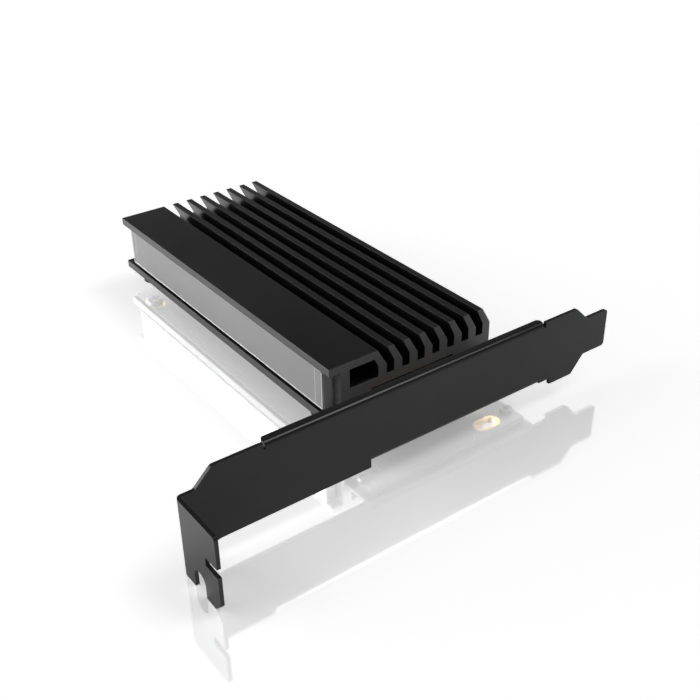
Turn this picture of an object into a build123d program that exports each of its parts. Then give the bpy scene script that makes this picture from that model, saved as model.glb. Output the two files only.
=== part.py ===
from build123d import *
import os

# A PCI Express x4 adapter card that carries one M.2 solid state drive under a finned heatsink.
# Millimetres. The origin is the centre of the key notch in the card edge, at the contact edge
# and half way through the board. +X points into the host's slot, +Y runs away from the
# bracket, and +Z rises from the component side.

# Driving sizes: circuit board
board_thickness = 1.57
board_width = 48.0
board_length = 119.14
tongue_length = 12.1
contact_pitch = 1.0
contact_width = 0.7
contact_length = 4.4
short_contact_length = 3.2
contact_margin = 0.825
contact_thickness = 0.04
contact_inset = 1.2
near_block_count = 11
far_block_count = 21
short_top_index = 5
key_width = 1.9
key_depth = 7.75
tip_bevel_length = 1.0
tip_bevel_height = 0.35
tongue_corner = 1.0
lobe_near = 33.6
lobe_width = 7.9
lobe_reach = 6.0
lobe_radius = 1.6
slot_radius = 1.45
slot_length = 6.0
slot_margin_x = 3.25
slot_margin_y = 8.75
ring_width = 0.75
spare_slot_gap = 7.25
spare_slot_setback = 6.4
copper_width = 21.0
copper_near = 12.0
copper_far_gap = 3.4
copper_thickness = 0.04
strip_length = 5.4
strip_width = 0.4
strip_pitch = 0.9
strip_gap = 1.2
strip_overlap = 1.0

# Driving sizes: supply capacitors and lamp resistors on the board
supply_width = 1.25
supply_length = 2.0
supply_height = 0.9
supply_setback = 3.0
supply_pitch = 3.2
supply_count = 4
resistor_width = 0.8
resistor_length = 1.6
resistor_height = 0.45
resistor_gap = 4.0
resistor_pitch = 2.6
resistor_count = 3

# Driving sizes: bracket
sheet = 0.86
bracket_length = 120.02
bracket_width = 18.42
plate_to_key = 59.9
plate_to_board = 2.0
tab_to_contact_edge = 108.6
plate_drop = 1.35
tab_width = 19.1
tab_drop = 6.1
tab_depth = 14.2
tab_neck = 3.9
shoulder_run = 4.2
ear_width = 6.3
ear_radius = 2.6
tongue_plate_width = 10.2
tongue_plate_length = 7.4
tongue_plate_drop = 3.75
tongue_slope = 3.8
lip_start = 20.2
lip_setback = 22.22
lip_depth = 2.4
relief_width = 0.45
relief_depth = 1.45
flange_start = 46.5
flange_setback = 22.42
flange_depth = 4.0
foot_width = 6.4
foot_depth = 11.2
foot_screw_setback = 7.2
bend_inner_radius = 0.5
screw_notch_setback = 6.4
screw_notch_radius = 2.21
screw_notch_depth = 5.2
hook_notch_height = 2.2
hook_notch_depth = 4.5
hook_notch_drop = 7.6
jog_length = 3.7
jog_rise = 0.3
sheet_corner = 0.9
tab_chamfer = 2.2

# Driving sizes: heatsink
heatsink_setback = 17.0
heatsink_height = 14.85
fin_count = 7
fin_pitch = 4.65
fin_slot_width = 2.2
fin_thickness = 2.4
fin_floor = 7.7
fin_bend = 10.3
fin_bend_step = 0.45
fin_lean_left = 2.65
fin_lean_right = 2.0
wall_beside_tunnel = 2.5
tunnel_floor = 7.75
tunnel_ceiling = 12.8
recess_width = 25.3
recess_height = 5.3
recess_step_width = 32.3
recess_step_height = 2.95
channel_depth = 3.1
channel_wall = 2.6
channel_floor = 1.2
channel_roof = 2.0
lip_thickness = 0.8
lip_drop = 0.85
lip_clearance = 0.1
light_slot_width = 2.0
light_slot_margin = 3.0
tunnel_chamfer_run = 1.15
tunnel_chamfer_drop = 2.1

# Driving sizes: light bar and lamps
bar_near_setback = 3.0
bar_far_setback = 5.0
bar_lift = 1.25
bar_clearance = 0.1
bar_chamfer = 0.5
lamp_count = 6
lamp_pitch = 10.5
lamp_length = 2.0
lamp_width = 1.25
lamp_height = 0.8

# Driving sizes: drive, socket and pads
drive_width = 22.0
drive_length = 80.0
drive_board = 0.8
drive_tongue_width = 19.85
drive_tongue_length = 4.0
drive_key_offset = 6.125
drive_key_width = 1.2
drive_key_depth = 3.5
drive_notch_radius = 1.75
drive_near = 20.1
drive_seat = 1.45
chip_height = 1.4
chip_chamfer = 0.12
drive_pad_positions = 38
drive_pad_pitch = 0.5
drive_pad_width = 0.35
drive_pad_length = 2.2
drive_pad_thickness = 0.03
drive_pad_inset = 0.3
parts_near = 20.6
capacitor_length = 1.0
capacitor_width = 0.5
capacitor_height = 0.5
capacitor_inset = 4.2
capacitor_column_pitch = 1.6
capacitor_columns_a_side = 4
capacitor_row_pitch = 2.0
capacitor_rows = 4
inductor_width = 2.0
inductor_length = 2.4
inductor_height = 1.0
inductor_offset = 1.6
inductor_lead = 1.0
inductor_pitch = 3.0
inductor_rows = 3
socket_width = 21.9
socket_depth = 4.8
socket_height = 3.2
socket_front = 97.7
socket_slot_clearance = 0.2
socket_wall = 0.25
socket_chamfer = 0.4
peg_radius = 0.55
peg_spacing = 18.0
spring_width = 0.22
spring_thickness = 0.16
spring_reach = 3.2
spring_ease = 0.07
spring_tip_setback = 0.2
spring_shoulder = 0.5
spring_knee = 1.5
lead_reach = 1.1
lead_height = 0.8
pad_width = 19.0
upper_pad_length = 74.0
pad_end_gap = 0.4
pad_corner = 0.6

# Driving sizes: fasteners
standoff_radius = 2.4
standoff_stem_radius = 1.8
small_screw_radius = 1.0
small_screw_length = 3.0
small_head_radius = 2.75
small_head_height = 0.9
heatsink_screw_radius = 1.25
heatsink_screw_length = 3.8
heatsink_head_radius = 2.4
heatsink_head_height = 1.5
heatsink_head_chamfer = 0.4
bracket_screw_radius = 1.0
bracket_screw_length = 2.7
bracket_head_radius = 1.6
bracket_head_height = 1.1
thread_clearance = 0.05
hole_clearance = 0.1
recess_arm = 0.45
recess_share = 0.6
recess_depth = 0.55

# How far a selected edge or face may lie from the place that names it
pick = 0.05

# Heights
top = board_thickness / 2
bottom = -top
drive_bottom = top + drive_seat
drive_top = drive_bottom + drive_board
chip_top = drive_top + chip_height
recess_ceiling = top + recess_height
heatsink_top = top + heatsink_height

# Places along the card
plate_face = -plate_to_key
board_near = plate_face + sheet + plate_to_board
board_far = board_near + board_length
heatsink_far = board_far
heatsink_near = plate_face + heatsink_setback
heatsink_length = heatsink_far - heatsink_near
heatsink_middle = (heatsink_near + heatsink_far) / 2
drive_near_y = plate_face + drive_near
drive_far_y = drive_near_y + drive_length
socket_front_y = plate_face + socket_front
foot_screw_y = plate_face + foot_screw_setback

# Places across the card
board_right = -tongue_length
board_left = board_right - board_width
heatsink_left = board_left - lip_clearance - lip_thickness
heatsink_right = board_right
centre_x = (heatsink_left + heatsink_right) / 2
tab_face = -tab_to_contact_edge
drive_key_x = centre_x - drive_key_offset

bracket_end = tab_face + bracket_length
flange_left = tab_face + flange_start
flange_right = bracket_end - flange_setback
lip_left = tab_face + lip_start
lip_right = bracket_end - lip_setback

slot_places = [
    (x, y)
    for x in (heatsink_left + slot_margin_x, heatsink_right - slot_margin_x)
    for y in (heatsink_near + slot_margin_y, heatsink_far - slot_margin_y)
]
foot_screw_places = [
    (flange_left + foot_width / 2, foot_screw_y),
    (flange_right - foot_width / 2, foot_screw_y),
]
spare_slot_place = (flange_right - foot_width / 2 - spare_slot_gap, plate_face + spare_slot_setback)
lamp_x = (heatsink_left + lip_thickness + lip_clearance + heatsink_left + channel_depth) / 2
lamp_places = [
    (lamp_x, heatsink_middle + (index - (lamp_count - 1) / 2) * lamp_pitch) for index in range(lamp_count)
]

# Circuit board: one outline with the contact tongue, the lobe beside it and every hole
block_near = -key_width / 2 - (near_block_count - 1) * contact_pitch - 2 * contact_margin
block_far = key_width / 2 + (far_block_count - 1) * contact_pitch + 2 * contact_margin
lobe_near_y = plate_face + lobe_near
lobe_far_y = lobe_near_y + lobe_width
lobe_tip = board_right + lobe_reach
ring_length = slot_length + 2 * ring_width
ring_radius = slot_radius + ring_width
peg_y = socket_front_y + socket_depth / 2

with BuildPart() as circuit_board:
    with BuildSketch(Plane.XY.offset(bottom)):
        with BuildLine():
            Polyline(
                (board_left, board_near),
                (board_right, board_near),
                (board_right, lobe_near_y),
                (lobe_tip, lobe_near_y),
                (lobe_tip, lobe_far_y),
                (board_right, lobe_far_y),
                (board_right, block_near),
                (-tongue_corner, block_near),
                (0, block_near + tongue_corner),
                (0, block_far - tongue_corner),
                (-tongue_corner, block_far),
                (board_right, block_far),
                (board_right, board_far),
                (board_left, board_far),
                close=True,
            )
        make_face()
        with Locations((-key_depth / 2, 0)):
            Rectangle(key_depth, key_width, mode=Mode.SUBTRACT)
        with Locations((-key_depth, 0)):
            Circle(key_width / 2, mode=Mode.SUBTRACT)
        with Locations(*slot_places):
            SlotOverall(ring_length, 2 * ring_radius, rotation=90, mode=Mode.SUBTRACT)
        with Locations(spare_slot_place):
            SlotOverall(ring_length, 2 * ring_radius, mode=Mode.SUBTRACT)
        with Locations((centre_x, drive_near_y)):
            Circle(standoff_stem_radius, mode=Mode.SUBTRACT)
        with Locations((centre_x - peg_spacing / 2, peg_y), (centre_x + peg_spacing / 2, peg_y)):
            Circle(peg_radius, mode=Mode.SUBTRACT)
        with Locations(*foot_screw_places):
            Circle(bracket_screw_radius + hole_clearance, mode=Mode.SUBTRACT)
    extrude(amount=board_thickness)
    lobe_edges = circuit_board.edges().filter_by(Axis.Z).filter_by_position(Axis.X, lobe_tip - pick, lobe_tip + pick)
    fillet(lobe_edges, lobe_radius)
    for block in (0, -1):
        tip_face = circuit_board.faces().filter_by_position(Axis.X, -pick, pick).sort_by(Axis.Y)[block]
        chamfer(tip_face.edges().filter_by(Axis.Y), tip_bevel_height, tip_bevel_length, reference=tip_face)

# Bare copper under the drive, with two bare strips beside its far corner
copper_near_y = plate_face + copper_near
copper_far_y = socket_front_y - spring_reach - copper_far_gap
strip_x = centre_x - copper_width / 2 - strip_gap
strip_y = copper_far_y + strip_length / 2 - strip_overlap

with BuildPart() as thermal_copper:
    with BuildSketch(Plane.XY.offset(top)):
        with Locations((centre_x, (copper_near_y + copper_far_y) / 2)):
            Rectangle(copper_width, copper_far_y - copper_near_y)
        with Locations((centre_x, drive_near_y)):
            Circle(standoff_radius + hole_clearance, mode=Mode.SUBTRACT)
        with Locations((strip_x, strip_y), (strip_x - strip_pitch, strip_y)):
            Rectangle(strip_width, strip_length)
    extrude(amount=copper_thickness)

# Plated slots: each plated wall and its two collars are one sleeve, flush with the board
with BuildPart() as slot_rings:
    with BuildSketch(Plane.XY.offset(bottom)):
        with Locations(*slot_places):
            SlotOverall(ring_length, 2 * ring_radius, rotation=90)
            SlotOverall(slot_length, 2 * slot_radius, rotation=90, mode=Mode.SUBTRACT)
        with Locations(spare_slot_place):
            SlotOverall(ring_length, 2 * ring_radius)
            SlotOverall(slot_length, 2 * slot_radius, mode=Mode.SUBTRACT)
    extrude(amount=board_thickness)

# Gold edge contacts on both faces, with the shorter card-present contacts
near_block_places = [
    -key_width / 2 - contact_margin - index * contact_pitch for index in range(near_block_count)
]
far_block_places = [key_width / 2 + contact_margin + index * contact_pitch for index in range(far_block_count)]
contact_places = near_block_places + far_block_places
short_top_places = [far_block_places[short_top_index], far_block_places[far_block_count - 2]]
short_bottom_places = [near_block_places[near_block_count - 1]]

with BuildPart() as edge_contacts:
    for face_height, short_places in ((top, short_top_places), (bottom - contact_thickness, short_bottom_places)):
        with BuildSketch(Plane.XY.offset(face_height)):
            for place in contact_places:
                reach = short_contact_length if place in short_places else contact_length
                with Locations((-contact_inset - contact_length + reach / 2, place)):
                    Rectangle(reach, contact_width)
        extrude(amount=contact_thickness)

# Drive socket: a moulded body with the card slot, its key rib and two locating pegs
slot_width = drive_tongue_width + 2 * socket_slot_clearance
slot_floor = drive_bottom - socket_wall
slot_ceiling = drive_top + socket_slot_clearance
slot_depth = drive_far_y + socket_slot_clearance - socket_front_y
slot_middle_z = (slot_floor + slot_ceiling) / 2
rib_width = drive_key_width - socket_slot_clearance

with BuildPart() as m2_socket:
    with Locations((centre_x, socket_front_y + socket_depth / 2, top + socket_height / 2)):
        Box(socket_width, socket_depth, socket_height)
    with Locations((centre_x, socket_front_y + slot_depth / 2, slot_middle_z)):
        Box(slot_width, slot_depth, slot_ceiling - slot_floor, mode=Mode.SUBTRACT)
    with Locations((drive_key_x, socket_front_y + slot_depth / 2, slot_middle_z)):
        Box(rib_width, slot_depth, slot_ceiling - slot_floor)
    roof_edge = m2_socket.edges().filter_by(Axis.X).sort_by(Axis.Z)[-2:].sort_by(Axis.Y)[0]
    chamfer(roof_edge, socket_chamfer)
    with BuildSketch(Plane.XY.offset(top)):
        with Locations((centre_x - peg_spacing / 2, peg_y), (centre_x + peg_spacing / 2, peg_y)):
            Circle(peg_radius)
    extrude(amount=-board_thickness)

# Spring contacts of the front row: they lie in the slot, leave it and bend down to the board
pad_run = [(index - (drive_pad_positions - 1) / 2) * drive_pad_pitch for index in range(drive_pad_positions)]
pad_columns = [
    column for column in pad_run if abs(column + drive_key_offset) > drive_key_width / 2 + drive_pad_width
]
spring_tip = drive_far_y - spring_tip_setback
spring_bend = socket_front_y - spring_shoulder
spring_foot = socket_front_y - spring_knee
spring_end = socket_front_y - spring_reach
spring_planes = [Plane.YZ.offset(centre_x + column) for column in pad_columns]

with BuildPart() as socket_front_contacts:
    with BuildSketch(*spring_planes):
        with BuildLine():
            Polyline(
                (spring_tip, slot_floor),
                (spring_bend, slot_floor),
                (spring_foot, top),
                (spring_end, top),
                (spring_end, top + spring_thickness),
                (spring_foot - spring_ease, top + spring_thickness),
                (spring_bend - spring_ease, slot_floor + spring_thickness),
                (spring_tip, slot_floor + spring_thickness),
                close=True,
            )
        make_face()
    extrude(amount=spring_width / 2, both=True)

# Solder leads of the rear row
lead_root = socket_front_y + socket_depth
lead_planes = [Plane.YZ.offset(centre_x + column + drive_pad_pitch / 2) for column in pad_columns[:-1]]

with BuildPart() as socket_rear_contacts:
    with BuildSketch(*lead_planes):
        with BuildLine():
            Polyline(
                (lead_root, top + lead_height),
                (lead_root + spring_thickness, top + lead_height),
                (lead_root + spring_thickness, top + spring_thickness),
                (lead_root + lead_reach, top + spring_thickness),
                (lead_root + lead_reach, top),
                (lead_root, top),
                close=True,
            )
        make_face()
    extrude(amount=spring_width / 2, both=True)

# Threaded standoff: a collar on the board, a stem through it and an open thread
with BuildPart() as m2_standoff:
    with BuildSketch(Plane.XY.offset(top)):
        with Locations((centre_x, drive_near_y)):
            Circle(standoff_radius)
    extrude(amount=drive_seat)
    with BuildSketch(Plane.XY.offset(top)):
        with Locations((centre_x, drive_near_y)):
            Circle(standoff_stem_radius)
    extrude(amount=-board_thickness)
    with Locations((centre_x, drive_near_y, drive_bottom)):
        Hole(small_screw_radius + thread_clearance)

# Drive screw: a flat head with a cross recess on a short shank
with BuildPart() as m2_screw:
    with BuildSketch(Plane.XY.offset(drive_top)):
        with Locations((centre_x, drive_near_y)):
            Circle(small_head_radius)
    extrude(amount=small_head_height)
    with BuildSketch(Plane.XY.offset(drive_top)):
        with Locations((centre_x, drive_near_y)):
            Circle(small_screw_radius)
    extrude(amount=-small_screw_length)
    with BuildSketch(Plane.XY.offset(drive_top + small_head_height)):
        with Locations((centre_x, drive_near_y)):
            Rectangle(2 * recess_share * small_head_radius, recess_arm)
            Rectangle(recess_arm, 2 * recess_share * small_head_radius)
    extrude(amount=-recess_depth, mode=Mode.SUBTRACT)

# Drive board: the contact tongue with its key notch, and the half-round screw notch
shoulder_y = drive_far_y - drive_tongue_length

with BuildPart() as ssd_board:
    with BuildSketch(Plane.XY.offset(drive_bottom)):
        with Locations((centre_x, (drive_near_y + shoulder_y) / 2)):
            Rectangle(drive_width, shoulder_y - drive_near_y)
        with Locations((centre_x, (shoulder_y + drive_far_y) / 2)):
            Rectangle(drive_tongue_width, drive_tongue_length)
        with Locations((drive_key_x, drive_far_y - drive_key_depth / 2)):
            Rectangle(drive_key_width, drive_key_depth, mode=Mode.SUBTRACT)
        with Locations((drive_key_x, drive_far_y - drive_key_depth)):
            Circle(drive_key_width / 2, mode=Mode.SUBTRACT)
        with Locations((centre_x, drive_near_y)):
            Circle(drive_notch_radius, mode=Mode.SUBTRACT)
    extrude(amount=drive_board)

# Contact pads on both faces of the drive's tongue
drive_pad_y = drive_far_y - drive_pad_inset - drive_pad_length / 2

with BuildPart() as ssd_edge_contacts:
    for face_height in (drive_top, drive_bottom - drive_pad_thickness):
        with BuildSketch(Plane.XY.offset(face_height)):
            with Locations(*[(centre_x + column, drive_pad_y) for column in pad_columns]):
                Rectangle(drive_pad_width, drive_pad_length)
        extrude(amount=drive_pad_thickness)

# Packages on the drive: name, offset across, distance from the near edge, width and length
packages = {
    "memory_chip_near": (0.0, 11.1, 17.6, 14.0),
    "cache_chip": (-2.2, 36.7, 12.4, 10.4),
    "controller_chip": (0.0, 51.0, 15.0, 14.4),
    "memory_chip_far": (0.0, 68.0, 17.6, 14.0),
}
package_parts = {}
for package_name, (across, along, width, length) in packages.items():
    with BuildPart() as package:
        with Locations((centre_x + across, drive_near_y + along, drive_top + chip_height / 2)):
            Box(width, length, chip_height)
        package_rim = package.faces().sort_by(Axis.Z)[-1].edges()
        chamfer(package_rim, chip_chamfer)
    package.part.label = package_name
    package_parts[package_name] = package.part

# Small parts between the cache chip and the near memory chip
capacitor_columns = [
    side * (capacitor_inset + index * capacitor_column_pitch)
    for side in (-1, 1)
    for index in range(capacitor_columns_a_side)
]
capacitor_places = [
    (centre_x + column, drive_near_y + parts_near + row * capacitor_row_pitch, drive_top + capacitor_height / 2)
    for column in capacitor_columns
    for row in range(capacitor_rows)
]
inductor_places = [
    (
        centre_x + side * inductor_offset,
        drive_near_y + parts_near + inductor_lead + row * inductor_pitch,
        drive_top + inductor_height / 2,
    )
    for side in (-1, 1)
    for row in range(inductor_rows)
]

with BuildPart() as ssd_capacitors:
    with Locations(*capacitor_places):
        Box(capacitor_length, capacitor_width, capacitor_height)

with BuildPart() as ssd_inductors:
    with Locations(*inductor_places):
        Box(inductor_width, inductor_length, inductor_height)

# Thermal pads below and above the drive
lower_pad_near = drive_near_y + standoff_radius + pad_end_gap
lower_pad_far = socket_front_y - spring_reach - pad_end_gap
lower_pad_floor = top + copper_thickness
upper_pad_near = drive_near_y + small_head_radius

with BuildPart() as lower_thermal_pad:
    with BuildSketch(Plane.XY.offset(lower_pad_floor)):
        with Locations((centre_x, (lower_pad_near + lower_pad_far) / 2)):
            RectangleRounded(pad_width, lower_pad_far - lower_pad_near, pad_corner)
    extrude(amount=drive_bottom - lower_pad_floor)

with BuildPart() as upper_thermal_pad:
    with BuildSketch(Plane.XY.offset(chip_top)):
        with Locations((centre_x, upper_pad_near + upper_pad_length / 2)):
            RectangleRounded(pad_width, upper_pad_length, pad_corner)
    extrude(amount=recess_ceiling - chip_top)

# Heatsink: an extruded section with leaning fins, a tunnel, a lamp channel and a drive recess
heatsink_plane = Plane.XZ.offset(-heatsink_far)
channel_back = heatsink_left + channel_depth
channel_top = heatsink_top - channel_roof
bend_left = top + fin_bend
bend_right = bend_left + fin_bend_step
slot_lefts = [
    heatsink_right - fin_thickness - fin_slot_width - index * fin_pitch for index in range(fin_count)
]
tunnel_left = channel_back + channel_wall
tunnel_right = slot_lefts[-1] - wall_beside_tunnel
light_slot_length = (lamp_count - 1) * lamp_pitch + lamp_length + 2 * light_slot_margin
screw_tip = top + heatsink_screw_length - board_thickness

with BuildPart() as heatsink:
    with BuildSketch(heatsink_plane):
        with BuildLine():
            Polyline(
                (heatsink_left, top),
                (heatsink_left, heatsink_top),
                (heatsink_right - fin_lean_left, heatsink_top),
                (heatsink_right, bend_left),
                (heatsink_right, top),
                close=True,
            )
        make_face()
        with Locations((heatsink_left + lip_thickness / 2, top - lip_drop / 2)):
            Rectangle(lip_thickness, lip_drop)
        with Locations((centre_x, top + recess_step_height / 2)):
            Rectangle(recess_step_width, recess_step_height, mode=Mode.SUBTRACT)
        with Locations((centre_x, top + recess_height / 2)):
            Rectangle(recess_width, recess_height, mode=Mode.SUBTRACT)
        with Locations((heatsink_left + channel_depth / 2, (top + channel_floor + channel_top) / 2)):
            Rectangle(channel_depth, channel_top - top - channel_floor, mode=Mode.SUBTRACT)
        with BuildLine():
            Polyline(
                (tunnel_left, top + tunnel_floor),
                (tunnel_left, top + tunnel_ceiling),
                (tunnel_right - tunnel_chamfer_run, top + tunnel_ceiling),
                (tunnel_right, top + tunnel_ceiling - tunnel_chamfer_drop),
                (tunnel_right, top + tunnel_floor),
                close=True,
            )
        make_face(mode=Mode.SUBTRACT)
        for slot_left in slot_lefts:
            slot_right = slot_left + fin_slot_width
            with BuildLine():
                Polyline(
                    (slot_left, top + fin_floor),
                    (slot_left, bend_left),
                    (slot_left - fin_lean_left, heatsink_top),
                    (slot_right - fin_lean_right, heatsink_top),
                    (slot_right, bend_right),
                    (slot_right, top + fin_floor),
                    close=True,
                )
            make_face(mode=Mode.SUBTRACT)
    extrude(amount=heatsink_length)
    with BuildSketch(Plane.XY.offset(top)):
        with Locations((lamp_x, heatsink_middle)):
            SlotOverall(light_slot_length, light_slot_width, rotation=90)
    extrude(amount=channel_floor, mode=Mode.SUBTRACT)
    with BuildSketch(Plane.XY.offset(top)):
        with Locations(*slot_places):
            Circle(heatsink_screw_radius + thread_clearance)
    extrude(amount=screw_tip - top + hole_clearance, mode=Mode.SUBTRACT)

# Light bar: a clear block held in the channel over the lamps
bar_bottom = top + channel_floor + bar_lift
bar_top = channel_top - bar_clearance
bar_right = channel_back - bar_clearance
bar_near = heatsink_near + bar_near_setback
bar_far = heatsink_far - bar_far_setback

with BuildPart() as light_bar:
    with BuildSketch(Plane.XY.offset(bar_bottom)):
        with Locations(((heatsink_left + bar_right) / 2, (bar_near + bar_far) / 2)):
            Rectangle(bar_right - heatsink_left, bar_far - bar_near)
    extrude(amount=bar_top - bar_bottom)
    bar_corners = light_bar.edges().filter_by(Axis.Z).sort_by(Axis.X)[:2]
    chamfer(bar_corners, bar_chamfer)

# Lamps along the left edge of the board
with BuildPart() as light_leds:
    with Locations(*[(x, y, top + lamp_height / 2) for x, y in lamp_places]):
        Box(lamp_width, lamp_length, lamp_height)

# Heatsink screws, driven from the solder side through the plated slots
with BuildPart() as heatsink_screws:
    with BuildSketch(Plane.XY.offset(bottom)):
        with Locations(*slot_places):
            Circle(heatsink_head_radius)
    extrude(amount=-heatsink_head_height)
    head_rims = heatsink_screws.edges().filter_by(GeomType.CIRCLE).group_by(Axis.Z)[0]
    chamfer(head_rims, heatsink_head_chamfer)
    with BuildSketch(Plane.XY.offset(bottom)):
        with Locations(*slot_places):
            Circle(heatsink_screw_radius)
    extrude(amount=screw_tip - bottom)
    with BuildSketch(Plane.XY.offset(bottom - heatsink_head_height)):
        with Locations(*slot_places):
            Rectangle(2 * recess_share * heatsink_head_radius, recess_arm)
            Rectangle(recess_arm, 2 * recess_share * heatsink_head_radius)
    extrude(amount=recess_depth, mode=Mode.SUBTRACT)

# Bracket: one folded sheet with a plate, a screw tab, a top lip and a foot flange
plate_bottom = top - plate_drop
plate_top = plate_bottom + bracket_width
tab_bottom = top - tab_drop
tab_top = tab_bottom + tab_width
tongue_top = plate_top - tongue_plate_drop
tongue_bottom = tongue_top - tongue_plate_width
tongue_root = bracket_end - tongue_plate_length
flange_length = flange_right - flange_left
lip_length = lip_right - lip_left
bend_outer_radius = bend_inner_radius + sheet
ear_right = tab_face + ear_width
tab_end = plate_face - tab_depth
notch_middle = tab_bottom + screw_notch_depth - screw_notch_radius
hook_middle = tab_top - hook_notch_drop - hook_notch_height / 2


def fold_section(plane, reach):
    """Return the section of a right-angled fold whose outside corner is the plane's origin."""
    with BuildSketch(plane) as section:
        with BuildLine():
            Polyline(
                (bend_outer_radius, 0),
                (reach, 0),
                (reach, sheet),
                (bend_outer_radius, sheet),
            )
            CenterArc((bend_outer_radius, bend_outer_radius), bend_inner_radius, 180, 90)
            Line((sheet, bend_outer_radius), (0, bend_outer_radius))
            CenterArc((bend_outer_radius, bend_outer_radius), bend_outer_radius, 180, 90)
        make_face()
    return section.sketch


tab_corner = Plane((tab_face, plate_face + sheet, tab_bottom), x_dir=(0, -1, 0), z_dir=(0, 0, 1))
lip_corner = Plane((lip_left, plate_face, plate_top), x_dir=(0, 1, 0), z_dir=(-1, 0, 0))
flange_corner = Plane((flange_left, plate_face, top), x_dir=(0, 1, 0), z_dir=(1, 0, 0))
tab_section = fold_section(tab_corner, tab_depth + sheet)
lip_section = fold_section(lip_corner, lip_depth)
flange_section = fold_section(flange_corner, flange_depth)

with BuildPart() as bracket:
    with BuildSketch(Plane.XZ.offset(-plate_face)) as plate_outline:
        with BuildLine():
            Polyline(
                (tab_face + bend_outer_radius, tab_bottom),
                (tab_face + bend_outer_radius, tab_top),
                (tab_face + tab_neck, tab_top),
                (tab_face + tab_neck + shoulder_run, plate_top),
                (tongue_root - tongue_slope, plate_top),
                (tongue_root, tongue_top),
                (bracket_end, tongue_top),
                (bracket_end, tongue_bottom),
                (tongue_root, tongue_bottom),
                (tongue_root - tongue_slope, plate_bottom),
                (flange_right + jog_length, plate_bottom),
                (flange_right + jog_length, top + jog_rise),
                (flange_right, top + jog_rise),
                (flange_right, top + bend_outer_radius),
                (flange_left, top + bend_outer_radius),
                (flange_left, plate_bottom),
                (ear_right, plate_bottom),
                (ear_right, tab_bottom),
                close=True,
            )
        make_face()
        outline_corners = plate_outline.vertices().sort_by(Axis.X)
        fillet(outline_corners[-2:], sheet_corner)
        slope_corners = plate_outline.vertices().filter_by_position(
            Axis.X, tongue_root - tongue_slope - pick, tongue_root + pick
        )
        fillet(slope_corners, sheet_corner)
        neck_corners = plate_outline.vertices().filter_by_position(
            Axis.X, tab_face + tab_neck - pick, tab_face + tab_neck + shoulder_run + pick
        )
        fillet(neck_corners.sort_by(Axis.Y)[-2:], sheet_corner)
        ear_corners = plate_outline.vertices().filter_by_position(Axis.X, ear_right - pick, ear_right + pick)
        fillet(ear_corners.sort_by(Axis.Y)[-1], ear_radius)
        with Locations(((lip_left + lip_right) / 2, plate_top - bend_outer_radius / 2)):
            Rectangle(lip_length, bend_outer_radius, mode=Mode.SUBTRACT)
        with Locations((lip_left - relief_width / 2, plate_top), (lip_right + relief_width / 2, plate_top)):
            Rectangle(relief_width, 2 * relief_depth, mode=Mode.SUBTRACT)
    extrude(amount=-sheet)
    extrude(tab_section, amount=tab_width)
    extrude(lip_section, amount=-lip_length)
    extrude(flange_section, amount=flange_length)
    lip_edges = bracket.edges().filter_by(Axis.Z).filter_by_position(
        Axis.Z, plate_top - sheet, plate_top
    )
    lip_corners = lip_edges.filter_by_position(
        Axis.Y, plate_face + lip_depth - pick, plate_face + lip_depth + pick
    )
    fillet(lip_corners, sheet_corner)

    # Screw notch and hook notch in the tab, with its outer corners eased
    with BuildSketch(Plane.YZ.offset(tab_face)):
        with Locations((plate_face - screw_notch_setback, (tab_bottom + notch_middle) / 2)):
            Rectangle(2 * screw_notch_radius, notch_middle - tab_bottom)
        with Locations((plate_face - screw_notch_setback, notch_middle)):
            Circle(screw_notch_radius)
        with Locations((tab_end + hook_notch_depth / 2, hook_middle)):
            Rectangle(hook_notch_depth, hook_notch_height)
    extrude(amount=sheet, mode=Mode.SUBTRACT)
    tab_corners = bracket.edges().filter_by(Axis.X).filter_by_position(Axis.Y, tab_end - pick, tab_end + pick)
    chamfer(tab_corners.sort_by(Axis.Z)[0], tab_chamfer)
    top_corner = bracket.edges().filter_by(Axis.X).filter_by_position(Axis.Y, tab_end - pick, tab_end + pick)
    fillet(top_corner.sort_by(Axis.Z)[-1], sheet_corner)

    # Feet of the flange, tapped for the two screws
    with BuildSketch(Plane.XY.offset(top)) as feet:
        for x, y in foot_screw_places:
            with Locations((x, plate_face + (flange_depth + foot_depth) / 2)):
                Rectangle(foot_width, foot_depth - flange_depth)
        fillet(feet.vertices().group_by(Axis.Y)[-1], sheet_corner)
    extrude(amount=sheet)
    with BuildSketch(Plane.XY.offset(top)):
        with Locations(*foot_screw_places):
            Circle(bracket_screw_radius + thread_clearance)
    extrude(amount=sheet, mode=Mode.SUBTRACT)

# Bracket screws, driven from the solder side into the foot flange
with BuildPart() as bracket_screws:
    with BuildSketch(Plane.XY.offset(bottom)):
        with Locations(*foot_screw_places):
            Circle(bracket_head_radius)
    extrude(amount=-bracket_head_height)
    with BuildSketch(Plane.XY.offset(bottom)):
        with Locations(*foot_screw_places):
            Circle(bracket_screw_radius)
    extrude(amount=bracket_screw_length)
    with BuildSketch(Plane.XY.offset(bottom - bracket_head_height)):
        with Locations(*foot_screw_places):
            Rectangle(2 * recess_share * bracket_head_radius, recess_arm)
            Rectangle(recess_arm, 2 * recess_share * bracket_head_radius)
    extrude(amount=recess_depth, mode=Mode.SUBTRACT)

# Supply capacitors and lamp resistors on the board, under the heatsink's stepped recess
component_x = centre_x + (recess_width / 2 + recess_step_width / 2) / 2
supply_run = [socket_front_y - supply_setback - index * supply_pitch for index in range(supply_count)]
resistor_run = [supply_run[-1] - resistor_gap - index * resistor_pitch for index in range(resistor_count)]

with BuildPart() as board_capacitors:
    with Locations(*[(component_x, y, top + supply_height / 2) for y in supply_run]):
        Box(supply_width, supply_length, supply_height)

with BuildPart() as board_resistors:
    with Locations(*[(component_x, y, top + resistor_height / 2) for y in resistor_run]):
        Box(resistor_width, resistor_length, resistor_height)

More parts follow.
